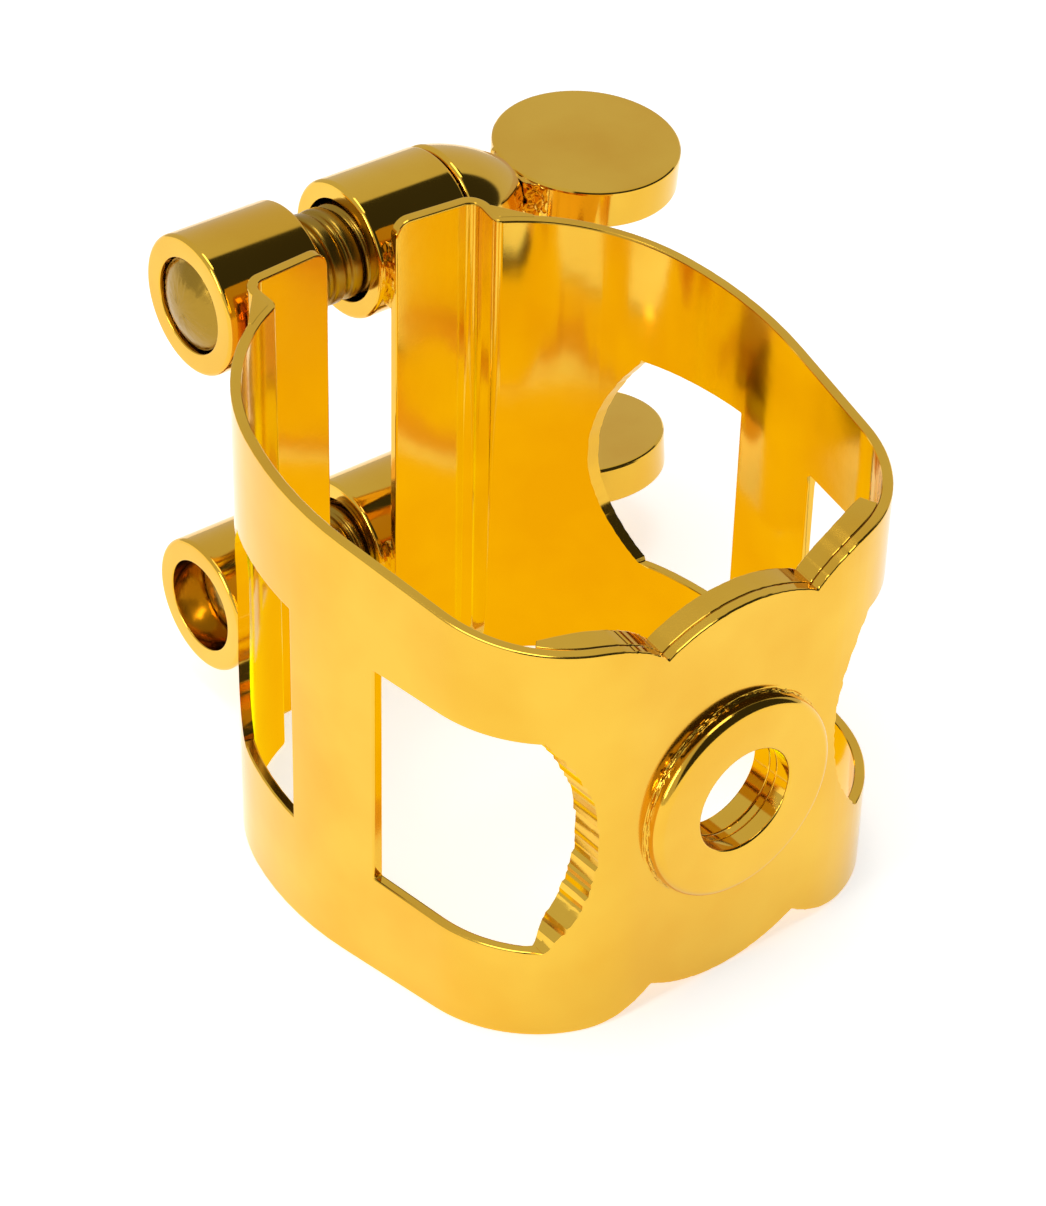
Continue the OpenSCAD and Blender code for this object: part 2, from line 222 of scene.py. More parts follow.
def pick(piece, kind, test):
    """Selects the vertices, edges or faces whose middle passes a test, in edit mode."""
    activate(piece)
    mesh = piece.data
    bpy.context.tool_settings.mesh_select_mode = (kind == "VERT", kind == "EDGE", kind == "FACE")
    for group in (mesh.vertices, mesh.edges, mesh.polygons):
        group.foreach_set("select", [False] * len(group))
    if kind == "VERT":
        chosen = [v for v in mesh.vertices if test(v.co)]
    elif kind == "EDGE":
        ends = [[mesh.vertices[i].co for i in e.vertices] for e in mesh.edges]
        chosen = [e for e, (a, b) in zip(mesh.edges, ends) if test(a) and test(b)]
    else:
        chosen = [p for p in mesh.polygons if test(p.center, p.normal)]
    for item in chosen:
        item.select = True
    operate("EDIT")
    return len(chosen)


def pick_sharp(piece, spared):
    """Selects the sharp edges in edit mode. Edges whose ends pass a test are spared: they stay
    sharp and aren't selected."""
    pick(piece, "EDGE", lambda co: False)
    bpy.ops.mesh.edges_select_sharp(sharpness=math.radians(48))
    operate("OBJECT")
    mesh = piece.data
    for edge in mesh.edges:
        if edge.select and all(spared(mesh.vertices[i].co) for i in edge.vertices):
            edge.select, edge.use_edge_sharp = False, True
    mesh.vertices.foreach_set("select", [False] * len(mesh.vertices))
    operate("EDIT")


def select_all():
    operate("EDIT")
    bpy.ops.mesh.select_all(action="SELECT")


def tidy(piece, gap=0.004 * MM):
    """Merges doubled vertices, then points every face outwards."""
    activate(piece)
    select_all()
    bpy.ops.mesh.remove_doubles(threshold=gap)
    bpy.ops.mesh.normals_make_consistent(inside=False)
    operate("OBJECT")


def modify(piece, kind, **settings):
    """Adds a modifier with its settings and applies it."""
    activate(piece)
    modifier = piece.modifiers.new(kind.title(), kind)
    for key, value in settings.items():
        setattr(modifier, key, value)
    bpy.ops.object.modifier_apply(modifier=modifier.name)


def place(piece, turn=(0, 0, 0), shift=(0, 0, 0), scale=(1, 1, 1)):
    """Turns, scales and moves a piece, and puts that into its mesh."""
    activate(piece)
    piece.rotation_euler = turn
    piece.scale = scale
    piece.location = shift
    bpy.ops.object.transform_apply(location=True, rotation=True, scale=True)


def cut(piece, *tools):
    """Takes the tools' shapes out of a piece and throws the tools away."""
    for tool in tools:
        modify(piece, "BOOLEAN", operation="DIFFERENCE", object=tool, solver="EXACT")
        bpy.data.objects.remove(tool)


def join(pieces, name):
    """Makes one object of several."""
    begin()
    for piece in pieces:
        piece.select_set(True)
    bpy.context.view_layer.objects.active = pieces[0]
    bpy.ops.object.join()
    return named(name)


def start_run(name, point):
    """A new object that holds one selected vertex."""
    begin()
    bpy.ops.mesh.primitive_plane_add(size=MM)
    piece = named(name)
    bpy.context.tool_settings.mesh_select_mode = (True, False, False)
    select_all()
    bpy.ops.mesh.merge(type="CENTER")
    bpy.ops.transform.translate(value=(point[0], point[1], 0))
    return piece


def run_end(state, move):
    """Where a move leaves a run: x, y and heading."""
    x, y, heading = state
    kind, *values = move
    if kind == "face":
        return x, y, values[0]
    if kind == "straight":
        return x + values[0] * math.cos(heading), y + values[0] * math.sin(heading), heading
    radius, turned = values
    return (
        x + radius * (math.sin(turned) - math.sin(heading)),
        y + radius * (math.cos(heading) - math.cos(turned)),
        turned,
    )


def draw_run(state, moves, fine=math.radians(2)):
    """Draws straights and arcs from the selected vertex by extrude and spin. A left turn's
    radius is positive. Fine is the largest turn of one step of an arc."""
    for move in moves:
        end = run_end(state, move)
        x, y, heading = state
        if move[0] == "straight":
            step = (end[0] - x, end[1] - y, 0)
            bpy.ops.mesh.extrude_vertices_move(TRANSFORM_OT_translate={"value": step})
        elif move[0] == "turn":
            radius = move[1]
            middle = (x - radius * math.sin(heading), y + radius * math.cos(heading), 0)
            sweep = end[2] - heading
            steps = max(3, math.ceil(abs(sweep) / fine))
            bpy.ops.mesh.spin(steps=steps, angle=-sweep, center=middle, axis=(0, 0, 1))
        state = end
    return state


def through(*points):
    """The start and moves of a run of straights through points in plan."""
    moves = []
    for (x0, y0), (x1, y1) in zip(points, points[1:]):
        moves.append(("face", math.atan2(y1 - y0, x1 - x0)))
        moves.append(("straight", math.hypot(x1 - x0, y1 - y0)))
    return (*points[0], 0), moves


def back_along(start, moves):
    """The moves that lead back along a run from its end."""
    states = run_states(start, moves)
    back = [("face", states[-1][2] + math.pi)]
    for move, state in reversed(list(zip(moves, states))):
        if move[0] == "straight":
            back.append(move)
        elif move[0] == "turn":
            back.append(("turn", -move[1], state[2] + math.pi))
    return back


def roughen(depth, seed, flat=False):
    """Moves the selected vertices at random, along their normals or in plan."""
    if depth > 0:
        bpy.ops.transform.vertex_random(
            offset=depth, uniform=float(flat), normal=float(not flat), seed=seed
        )
    if flat:
        bpy.ops.transform.resize(value=(1, 1, 0), center_override=(0, 0, 0))


def outline_tool(name, start, moves, depth, fine=math.radians(2), mark=0, within=0):
    """A solid on an outline drawn in plan, extruded up by depth. Mark is the depth of the file
    marks that its sides leave, within a distance of the middle."""
    tool = start_run(name, start)
    draw_run(start, moves, fine)
    select_all()
    bpy.ops.mesh.remove_doubles(threshold=0.001 * MM)
    if mark:
        pick(tool, "VERT", lambda co: abs(co.x) < within)
        roughen(mark, 3, flat=True)
        select_all()
    bpy.ops.mesh.edge_face_add()
    bpy.ops.mesh.extrude_region_move(TRANSFORM_OT_translate={"value": (0, 0, depth)})
    tidy(tool, 0.0001 * MM)
    return tool


def lathe(name, start, moves, steps=96, fine=math.radians(6), closed=True):
    """A turned piece about the X axis. Its profile is drawn in x and radius, then spun."""
    piece = start_run(name, start)
    draw_run(start, moves, fine)
    select_all()
    if closed:
        bpy.ops.mesh.remove_doubles(threshold=0.001 * MM)
    bpy.ops.mesh.spin(steps=steps, angle=2 * math.pi, center=(0, 0, 0), axis=(1, 0, 0))
    tidy(piece, 0.001 * MM)
    return piece


def cylinder(name, radius, depth, centre, turn=(0, 0, 0), vertices=128):
    """A cylinder primitive, placed in its mesh."""
    begin()
    bpy.ops.mesh.primitive_cylinder_add(vertices=vertices, radius=radius, depth=depth)
    piece = named(name)
    place(piece, turn, centre)
    return piece


def filed_disc(name, radius, depth, mark, seed):
    """A disc whose rim leaves file marks, which run along its axis."""
    begin()
    bpy.ops.mesh.primitive_circle_add(vertices=240, radius=radius)
    piece = named(name)
    bpy.context.tool_settings.mesh_select_mode = (True, False, False)
    select_all()
    roughen(mark, seed, flat=True)
    bpy.ops.mesh.edge_face_add()
    bpy.ops.mesh.extrude_region_move(TRANSFORM_OT_translate={"value": (0, 0, depth)})
    tidy(piece, 0.0001 * MM)
    return piece


def lumpy(piece, voxel, height, size):
    """Turns a solid into a lump of frozen solder, with bumps of a height and size."""
    modify(piece, "REMESH", mode="VOXEL", voxel_size=voxel)
    texture = bpy.data.textures.get("lumps") or bpy.data.textures.new("lumps", "CLOUDS")
    texture.noise_scale = size
    modify(piece, "DISPLACE", texture=texture, texture_coords="LOCAL", strength=height)
    modify(piece, "SMOOTH", factor=0.5, iterations=3)


def slice_off(piece, point, direction, fill=True):
    """Cuts away what lies beyond a plane."""
    activate(piece)
    select_all()
    bpy.ops.mesh.bisect(plane_co=point, plane_no=direction, use_fill=fill, clear_outer=True)
    operate("OBJECT")


def finish(piece, material, body, nodes, edge=None, spared=lambda co: False):
    """Rounds the sharp edges, shades, paints and mounts a finished piece. Edges between points
    that pass the spared test keep their sharpness."""
    if edge:
        pick_sharp(piece, spared)
        bpy.ops.mesh.bevel(offset=edge, segments=3, affect="EDGES", clamp_overlap=False)
        operate("OBJECT")
    activate(piece)
    # A filed-off edge stays crisp, so that it doesn't bend the shading of the wall beside it
    limit = 12 if edge else 50
    bpy.ops.object.shade_smooth_by_angle(angle=math.radians(limit), keep_sharp_edges=True)
    piece.data.materials.clear()
    piece.data.materials.append(material)
    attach(piece, body)
    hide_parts(*nodes)
    return piece


# Materials


def add_node(tree, kind, settings=None, **links):
    """Adds a node. Settings go to its properties or its named inputs, links to its inputs."""
    node = tree.nodes.new(kind)
    for key, value in (settings or {}).items():
        if hasattr(node, key):
            setattr(node, key, value)
        else:
            node.inputs[key].default_value = value
    for key, socket in links.items():
        tree.links.new(socket, node.inputs[key.replace("_", " ")])
    return node


def plated_brass(name, light, deep, roughness, wave, wave_depth, grain, grain_depth):
    """Brass under a bright gold plate. Wave and grain are the widths of the sheet's shallow
    unevenness and of its polishing marks, with their depths, in metres. Patches where the
    plate is thinner are a little deeper in colour and less smooth."""
    material = bpy.data.materials.new(name)
    material.use_nodes = True
    tree = material.node_tree
    tree.nodes.clear()
    place_at = add_node(tree, "ShaderNodeTexCoord").outputs["Object"]
    patches = add_node(
        tree, "ShaderNodeTexNoise", {"Scale": 1 / (6 * MM), "Detail": 3.0}, Vector=place_at
    )
    tint = add_node(tree, "ShaderNodeValToRGB", Fac=patches.outputs["Fac"])
    tint.color_ramp.elements[0].position = 0.35
    tint.color_ramp.elements[0].color = (*deep, 1)
    tint.color_ramp.elements[1].position = 0.65
    tint.color_ramp.elements[1].color = (*light, 1)
    haze = add_node(
        tree,
        "ShaderNodeMapRange",
        {"From Min": 0.3, "From Max": 0.7, "To Min": roughness * 1.3, "To Max": roughness * 0.8},
        Value=patches.outputs["Fac"],
    )
    swell = add_node(
        tree, "ShaderNodeTexNoise", {"Scale": 1 / wave, "Detail": 3.0}, Vector=place_at
    )
    marks = add_node(
        tree, "ShaderNodeTexNoise", {"Scale": 1 / grain, "Detail": 4.0}, Vector=place_at
    )
    broad = add_node(
        tree, "ShaderNodeBump", {"Distance": wave_depth}, Height=swell.outputs["Fac"]
    )
    fine = add_node(
        tree,
        "ShaderNodeBump",
        {"Distance": grain_depth},
        Height=marks.outputs["Fac"],
        Normal=broad.outputs["Normal"],
    )
    surface = add_node(
        tree,
        "ShaderNodeBsdfPrincipled",
        {"Metallic": 1.0},
        Base_Color=tint.outputs["Color"],
        Roughness=haze.outputs["Result"],
        Normal=fine.outputs["Normal"],
    )
    add_node(tree, "ShaderNodeOutputMaterial", Surface=surface.outputs["BSDF"])
    return material


def gold_sheet():
    """Rolled brass sheet, bent, polished and gold plated: a near mirror with long soft waves
    from the bending and a faint grain from the polishing wheel."""
    tones = bpy.context.scene.ligature_finishes
    return found_or(
        "plated_sheet",
        lambda name: plated_brass(
            name, tones.gold, tones.gold_deep, 0.10, 5 * MM, 0.016 * MM, 0.12 * MM, 0.0003 * MM
        ),
    )


def gold_turned():
    """Brass turned on a lathe, polished and gold plated: smoother than the sheet, with only
    short shallow waves left by the wheel."""
    tones = bpy.context.scene.ligature_finishes
    return found_or(
        "plated_turning",
        lambda name: plated_brass(
            name, tones.gold, tones.gold_deep, 0.09, 3 * MM, 0.004 * MM, 0.15 * MM, 0.0003 * MM
        ),
    )


def gold_screw():
    """Threaded brass rod under a thin plate that was never polished: a darker, duller gold. Part of
    that darkness is painted shade, standing in for the dim surroundings that the domed tips and
    threads reflect.
    """
    tones = bpy.context.scene.ligature_finishes
    return found_or(
        "plated_screw",
        lambda name: plated_brass(
            name, tones.dull_and_shade, tones.dull_and_shade, 0.26, 2 * MM, 0.006 * MM, 0.12 * MM, 0.001 * MM
        ),
    )


def gold_solder():
    """Silver solder that froze in lumps and was plated with the rest: uneven, with many small
    glints."""
    tones = bpy.context.scene.ligature_finishes
    return found_or(
        "plated_solder",
        lambda name: plated_brass(
            name, tones.solder, tones.gold_deep, 0.16, 0.5 * MM, 0.03 * MM, 0.1 * MM, 0.002 * MM
        ),
    )


def found_or(name, make):
    """The material of that name, made when it is first asked for."""
    return bpy.data.materials.get(name) or make(name)


# Shape of the band


def settings():
    scene = bpy.context.scene
    return scene.ligature_band, scene.ligature_windows, scene.ligature_turned


def sheet_run(band, inset, last=None):
    """Start and moves of the right half of a sheet whose middle lies inset inside the outer
    face. It ends at the flange, or in the front corner at the heading last."""
    start = (0, -band.front + inset, 0)
    moves = [
        ("straight", band.flat_half),
        ("turn", band.ease_r - inset, band.ease_end),
        ("turn", band.corner_r - inset, last or band.corner_end),
    ]
    inwards = inset - band.sheet / 2
    if last is None:
        moves += [
            ("straight", band.side),
            ("turn", band.side_r - inset, band.side_end),
            ("turn", band.rear_r - inset, band.rear_end),
            ("turn", -(band.crease_r + inwards), band.crease_end),
            ("straight", band.step),
            ("turn", band.hook_r - inwards, band.hook_end),
            ("straight", band.flange),
        ]
    return start, moves


def run_states(start, moves):
    """The state at the start of a run and after each move."""
    states = [start]
    for move in moves:
        states.append(run_end(states[-1], move))
    return states


def beside(state, distance):
    """A point beside a run, on its left when the distance is positive."""
    return (
        state[0] - distance * math.sin(state[2]),
        state[1] + distance * math.cos(state[2]),
    )


def rim_height(band, y):
    return band.height + y * math.tan(band.rim_slope)


def window_middle(windows, y):
    return windows.middle + y * math.tan(windows.slope)


def front_depth(band, x, inset=0):
    """Where the front lies at a distance from its middle, up to the corner: its outside, or a
    face that lies inset inside it."""
    states = run_states(*sheet_run(band, inset))
    y = -band.front + inset
    for (from_x, _, _), (to_x, _, turned), radius in zip(
        states[1:], states[2:], (band.ease_r - inset, band.corner_r - inset)
    ):
        before = band.ease_end if radius == band.corner_r - inset else 0
        sine = (x - from_x) / radius + math.sin(before)
        heading = min(math.asin(min(max(sine, 0), 1)), turned)
        y += radius * (math.cos(before) - math.cos(max(heading, before)))
        if x <= to_x:
            break
    return y


def scallop_tool(name, windows, lobe, notch, slope, rim):
    """Cuts the scallops into a rim that rises to the back by a slope. Heights are above the
    rim: the middle lobe's, then the notch's, from which a side lobe leads up to the rim."""
    band = settings()[0]
    behind = 4 * MM
    fall = lobe - notch
    middle_r = (windows.cusp**2 + fall**2) / (2 * fall)
    middle_turn = math.asin(windows.cusp / middle_r)
    run = windows.lobe_end - windows.cusp
    side_r = (run**2 + notch**2) / (-2 * notch)
    side_turn = math.asin(run / side_r)
    moves = [
        ("turn", -side_r, -side_turn),
        ("face", middle_turn),
        ("turn", -middle_r, -middle_turn),
        ("face", side_turn),
        ("turn", -side_r, 0),
        ("face", math.pi / 2),
        ("straight", 30 * MM),
        ("face", math.pi),
        ("straight", 2 * windows.lobe_end),
    ]
    start = (-windows.lobe_end, 0, 0)
    mark, within = windows.scallop_mark, windows.lobe_end - 1 * MM
    tool = outline_tool(name, start, moves, 3 * behind, math.radians(1.5), mark, within)
    place(tool, shift=(0, 0, -behind))
    place(tool, (math.pi / 2 + slope, 0, 0), (0, -band.front, rim))
    return tool


def trim_to_window(tool, windows, y_edge, keep_front):
    """Cuts a round tool to the sloping slab between the window's upper and lower edges."""
    rise = math.tan(windows.slope)
    for side in (1, -1):
        level = windows.middle + side * windows.height / 2
        slice_off(tool, (0, 0, level), (0, -side * rise, side))
    slice_off(tool, (0, y_edge, 0), (0, 1 if keep_front else -1, 0))


def front_window_tool(side):
    """The left or right front window, given by -1 or 1."""
    band, windows, _ = settings()
    reach = windows.left_reach if side < 0 else windows.right_reach
    rise = 0 if side < 0 else windows.right_rise
    z = window_middle(windows, front_depth(band, reach)) + rise
    tool = filed_disc("front_window", windows.round_r, 20 * MM, windows.file_mark, 5)
    place(tool, (math.pi / 2, 0, 0), (side * (reach + windows.round_r), 0, z))
    trim_to_window(tool, windows, windows.front_edge, True)
    tidy(tool, 0.0001 * MM)
    return tool


def rear_window_tool():
    windows = settings()[1]
    y = windows.rear_reach - windows.round_r
    z = window_middle(windows, windows.rear_reach)
    tool = filed_disc("rear_window", windows.round_r, 20 * MM, 0.3 * windows.file_mark, 9)
    place(tool, (0, math.pi / 2, 0), (0, y, z))
    trim_to_window(tool, windows, windows.rear_edge, False)
    tidy(tool, 0.0001 * MM)
    return tool


def front_tools():
    """The scallops and the hole, which the band and the inner plate share."""
    band, windows, turned = settings()
    low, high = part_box("ring_boss")
    rim = rim_height(band, -band.front)
    drop, notch = -windows.lobe_drop, -windows.top_cusp
    top_scallop = scallop_tool("top_scallop", windows, drop, notch, band.rim_slope, rim)
    low_scallop = scallop_tool("low_scallop", windows, 0, -windows.low_cusp, 0, 0)
    place(low_scallop, scale=(1, 1, -1))
    tidy(low_scallop, 0.0001 * MM)
    middle = (0, -band.front, (low.z + high.z) / 2)
    hole = cylinder("ring_hole", turned.ring_bore, 20 * MM, middle, (math.pi / 2, 0, 0))
    return [top_scallop, low_scallop, hole]


def standing_sheet(name, start, moves, tools):
    """The right half of a sheet on its outline in plan, cut to the sloping rim and by the
    tools, then mirrored to both sides and cut by the front windows."""
    band = settings()[0]
    piece = outline_tool(name, start, moves, 30 * MM, math.radians(3.5))
    slice_off(piece, (0, 0, band.height), (0, -math.tan(band.rim_slope), 1))
    tidy(piece, 0.0001 * MM)
    cut(piece, *tools)
    pick(piece, "FACE", lambda centre, normal: abs(centre.x) < 0.01 * MM and abs(normal.x) > 0.9)
    bpy.ops.mesh.delete(type="FACE")
    modify(piece, "MIRROR", use_clip=True, merge_threshold=0.01 * MM)
    tidy(piece, 0.01 * MM)
    cut(piece, *[front_window_tool(side) for side in SIDES.values()])
    # No two corners lie closer than a bevel can pass between
    tidy(piece, 0.04 * MM)
    return piece


def on_round_side(co):
    """Whether a point lies on the round side of a window."""
    band, windows, _ = settings()
    slack = windows.file_mark + 0.02 * MM
    side = 1 if co.x > 0 else -1
    reach = windows.left_reach if side < 0 else windows.right_reach
    front_z = window_middle(windows, front_depth(band, reach)) + (side > 0) * windows.right_rise
    front = math.hypot(abs(co.x) - reach - windows.round_r, co.z - front_z)
    rear_z = window_middle(windows, windows.rear_reach)
    rear = math.hypot(co.y - windows.rear_reach + windows.round_r, co.z - rear_z)
    return (
        co.y < windows.front_edge - 0.1 * MM
        and abs(front - windows.round_r) < slack
        and abs(co.x) < reach + windows.round_r
    ) or (co.y > windows.rear_edge + 0.1 * MM and abs(rear - windows.round_r) < slack)


class LIGATURE_OT_band(bpy.types.Operator):
    """Bends the band sheet, cuts its windows and scallops, and rounds its flange corners"""

    bl_idname = "ligature.band"
    bl_label = "Band"

    def execute(self, context):
        band = settings()[0]
        run = sheet_run(band, 0)
        inner = sheet_run(band, band.sheet)
        across = [("face", band.hook_end + math.pi / 2), ("straight", band.sheet)]
        moves = run[1] + across + back_along(*inner)
        piece = standing_sheet("band", run[0], moves, front_tools() + [rear_window_tool()])
        end = run_states(*run)[-1]
        top = rim_height(band, end[1])
        for level in (0, top):
            pick(
                piece,
                "EDGE",
                lambda co: abs(abs(co.x) - end[0]) < 0.1 * MM
                and abs(co.y - end[1]) < 1.5 * band.sheet
                and abs(co.z - level) < 0.2 * MM,
            )
            bpy.ops.mesh.bevel(
                offset=band.flange_corner, segments=8, affect="EDGES", clamp_overlap=False
            )
        operate("OBJECT")
        finish(piece, gold_sheet(), BAND, ["band"], band.edge, on_round_side)
        return {"FINISHED"}


class LIGATURE_OT_inner_plate(bpy.types.Operator):
    """Bends the plate that doubles the front and cuts it to the band's outline"""

    bl_idname = "ligature.inner_plate"
    bl_label = "Inner plate"

    def execute(self, context):
        band = settings()[0]
        outer = sheet_run(band, band.sheet, band.plate_left)
        inner = sheet_run(band, band.sheet + band.plate, band.plate_left - band.plate_taper)
        end, thinning = run_states(*outer)[-1], run_states(*inner)[-1]
        tip = beside(end, band.plate_thin)
        # One arc leads from where the plate starts to thin out to its end
        chord = math.hypot(tip[0] - thinning[0], tip[1] - thinning[1])
        lean = math.atan2(tip[1] - thinning[1], tip[0] - thinning[0]) - thinning[2]
        taper = [("turn", chord / (2 * math.sin(lean)), thinning[2] + 2 * lean)]
        across = [("face", end[2] + math.pi / 2), ("straight", band.plate_thin)]
        moves = outer[1] + across + back_along(inner[0], inner[1] + taper)
        piece = standing_sheet("inner_plate", outer[0], moves, front_tools())
        right_end = run_states(*sheet_run(band, band.sheet, band.plate_right))[-1]
        away = (math.cos(right_end[2]), math.sin(right_end[2]), 0)
        slice_off(piece, (right_end[0], right_end[1], 0), away)
        for sign, low_end in ((-1, band.low_left), (1, band.low_right)):
            cut(piece, self.low_end_tool(band, sign, low_end))
        tidy(piece, 0.01 * MM)
        edge = 0.6 * band.edge
        finish(piece, gold_sheet(), BAND, ["inner_plate"], edge, on_round_side)
        return {"FINISHED"}

    def low_end_tool(self, band, sign, low_end):
        """What lies beyond the slanted end of the plate below a window."""
        outer = Vector((low_end, front_depth(band, low_end, band.sheet)))
        x = low_end - band.low_lean
        inner = Vector((x, front_depth(band, x, band.sheet + band.plate)))
        along = (outer - inner).normalized() * 3 * MM
        start, moves = through(
            outer + along, inner - along, (inner.x - along.x, 0), (30 * MM, 0), (30 * MM, outer.y)
        )
        tool = outline_tool("low_end", start, moves, settings()[1].middle)
        place(tool, scale=(sign, 1, 1))
        tidy(tool, 0.0001 * MM)
        return tool


class LIGATURE_OT_crease_solder(bpy.types.Operator):
    """Fills the creases behind the two reed rails with solder"""

    bl_idname = "ligature.crease_solder"
    bl_label = "Crease solder"

    def execute(self, context):
        band = settings()[0]
        # The fill overlaps the sheet a little and stands a hair above the rim, where it flowed
        # over the edge
        lap, proud = 0.2 * MM, 0.015 * MM
        start, moves = sheet_run(band, 0)
        wall_end = run_states(start, moves)[6]
        heading = wall_end[2] - band.solder_turn
        x, y, _ = run_end((*wall_end[:2], wall_end[2]), ("turn", band.rear_r, heading))
        lapped = sheet_run(band, lap)[1]
        fill = [
            ("face", heading + math.pi / 2),
            ("straight", lap),
            ("face", heading),
            *lapped[5:8],
            ("face", band.crease_end - math.pi / 2),
            ("straight", lap),
        ]
        for side, sign in SIDES.items():
            name = f"{side}_crease_solder"
            piece = outline_tool(name, (x, y, 0), fill, 30 * MM, math.radians(4))
            slice_off(piece, (0, 0, band.height + proud), (0, -math.tan(band.rim_slope), 1))
            place(piece, scale=(sign, 1, 1))
            tidy(piece, 0.001 * MM)
            if sign < 0:
                # A gas bubble left a pinhole in the top of this one
                hole = (-x + 0.45 * MM, y + 0.75 * MM, rim_height(band, y))
                cut(piece, cylinder("pinhole", 0.09 * MM, 1 * MM, hole, vertices=24))
            finish(piece, gold_sheet(), BAND, [name], 0.05 * MM)
        return {"FINISHED"}


class LIGATURE_OT_ring(bpy.types.Operator):
    """Turns the ring that surrounds the hole in the front"""

    bl_idname = "ligature.ring"
    bl_label = "Ring"

    def execute(self, context):
        turned = settings()[2]
        low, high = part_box("ring_boss")
        radius, thick = high.x, high.y - low.y
        bore, edge, fillet = turned.ring_bore, turned.ring_edge, turned.ring_fillet
        lip = 0.12 * MM
        quarter = math.pi / 2
        moves = [
            ("straight", thick - lip),
            ("face", quarter),
            ("straight", radius + fillet - bore),
            ("face", -quarter),
            ("turn", -fillet, -2 * quarter),
            ("straight", thick - edge - fillet),
            ("turn", edge, -quarter),
            ("straight", radius - bore - edge - lip),
            ("turn", lip, 0),
        ]
        piece = lathe("ring_boss", (lip, bore, 0), moves, 160)
        # The solder round the foot of the ring froze in ripples
        pick(
            piece,
            "VERT",
            lambda co: thick - fillet < co.x < thick - 0.01 * MM
            and math.hypot(co.y, co.z) > radius - 0.01 * MM,
        )
        roughen(0.035 * MM, 4)
        place(piece, (0, 0, quarter), (0, low.y, (low.z + high.z) / 2))
        finish(piece, gold_sheet(), BAND, ["ring_boss"])
        return {"FINISHED"}


class LIGATURE_OT_barrels(bpy.types.Operator):
    """Turns the four screw barrels: threaded ones on the left, plain ones on the right"""

    bl_idname = "ligature.barrels"
    bl_label = "Barrels"

    def execute(self, context):
        turned = settings()[2]
        quarter = math.pi / 2
        for level in LEVELS:
            for side in SIDES:
                name = f"{level}_{side}_barrel"
                low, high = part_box(name)
                radius = (high.z - low.z) / 2
                bore = turned.bore_left if side == "left" else turned.bore_right
                edge, lip = turned.barrel_edge, turned.bore_edge
                face = radius - bore - edge - lip
                long = high.x - low.x
                moves = [
                    ("straight", face),
                    ("turn", -edge, 0),
                    ("straight", long - 2 * edge),
                    ("turn", -edge, -quarter),
                    ("straight", face),
                    ("turn", -lip, -2 * quarter),
                    ("straight", long - 2 * lip),
                    ("turn", -lip, -3 * quarter),
                ]
                piece = lathe(name, (0, bore + lip, quarter), moves)
                place(piece, shift=(low.x, (low.y + high.y) / 2, (low.z + high.z) / 2))
                finish(piece, gold_turned(), BAND, [name])
        return {"FINISHED"}


class LIGATURE_OT_seams(bpy.types.Operator):
    """Lays the lumpy solder between the barrels and their flanges"""

    bl_idname = "ligature.seams"
    bl_label = "Seams"

    def execute(self, context):
        for level in LEVELS:
            for side in SIDES:
                name = f"{level}_{side}_seam"
                low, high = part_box(name)
                sink = 0.15 * MM
                start, moves = through(
                    (low.x, low.y - sink),
                    (high.x, low.y - sink),
                    (high.x, high.y + sink),
                    (low.x, high.y + sink),
                )
                piece = outline_tool(name, start, moves, high.z - low.z)
                place(piece, shift=(0, 0, low.z))
                lumpy(piece, 0.09 * MM, 0.22 * MM, 0.35 * MM)
                finish(piece, gold_solder(), BAND, [name])
        return {"FINISHED"}


def screw_parts(level):
    """The shank, neck and domed tip of one thumb screw."""
    turned = settings()[2]
    low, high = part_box(f"{level}_screw")
    axis = ((low.y + high.y) / 2, (low.z + high.z) / 2)
    collar_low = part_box(f"{level}_collar")[0]
    pitch, radius = turned.pitch, turned.thread_r
    quarter = math.pi / 2
    begin_x, end_x = low.x + turned.tip_dome + 0.15 * MM, collar_low.x - 0.1 * MM
    turns = math.ceil((end_x - begin_x) / pitch) + 2
    # One pitch of the thread: a wide crest with round shoulders, then a narrow round groove
    slope = math.radians(65)
    arcs = turned.thread_depth / (1 - math.cos(slope))
    shoulder, groove = 0.55 * arcs, 0.45 * arcs
    crest = pitch - 2 * arcs * math.sin(slope)
    rod = start_run(f"{level}_screw", (begin_x - pitch, radius))
    draw_run(
        (begin_x - pitch, radius, 0),
        [
            ("straight", crest / 2),
            ("turn", -shoulder, -slope),
            ("turn", groove, slope),
            ("turn", -shoulder, 0),
            ("straight", crest / 2),
        ],
        math.radians(13),
    )
    operate("OBJECT")
    modify(
        rod,
        "SCREW",
        axis="X",
        angle=4 * quarter,
        screw_offset=pitch,
        iterations=turns,
        steps=72,
        render_steps=72,
        use_merge_vertices=True,
        merge_threshold=0.001 * MM,
    )
    tidy(rod, 0.001 * MM)
    slice_off(rod, (begin_x, 0, 0), (-1, 0, 0))
    slice_off(rod, (end_x, 0, 0), (1, 0, 0))
    tidy(rod, 0.001 * MM)
    # The plain end that carries the dome
    dome, soft = turned.tip_dome, 0.1 * MM
    dome_r = (radius**2 + dome**2) / (2 * dome)
    lean = math.asin((radius - 0.4 * soft) / dome_r)
    tip_moves = [
        ("turn", -dome_r, quarter - 0.96 * lean),
        ("turn", -soft, 0),
        ("straight", 0.4 * MM),
        ("face", -quarter),
        ("straight", 1.2 * MM),
    ]
    tip = lathe("tip", (low.x, 0, quarter), tip_moves, fine=math.radians(3))
    pick(tip, "VERT", lambda co: co.x < low.x + dome and math.hypot(co.y, co.z) > 0.2 * MM)
    roughen(0.012 * MM, 6)
    operate("OBJECT")
    neck_middle = ((high.x + end_x) / 2, 0, 0)
    neck = cylinder("neck", turned.neck_r, high.x - end_x, neck_middle, (0, quarter, 0), 64)
    piece = join([rod, tip, neck], f"{level}_screw")
    place(piece, shift=(0, *axis))
    return piece


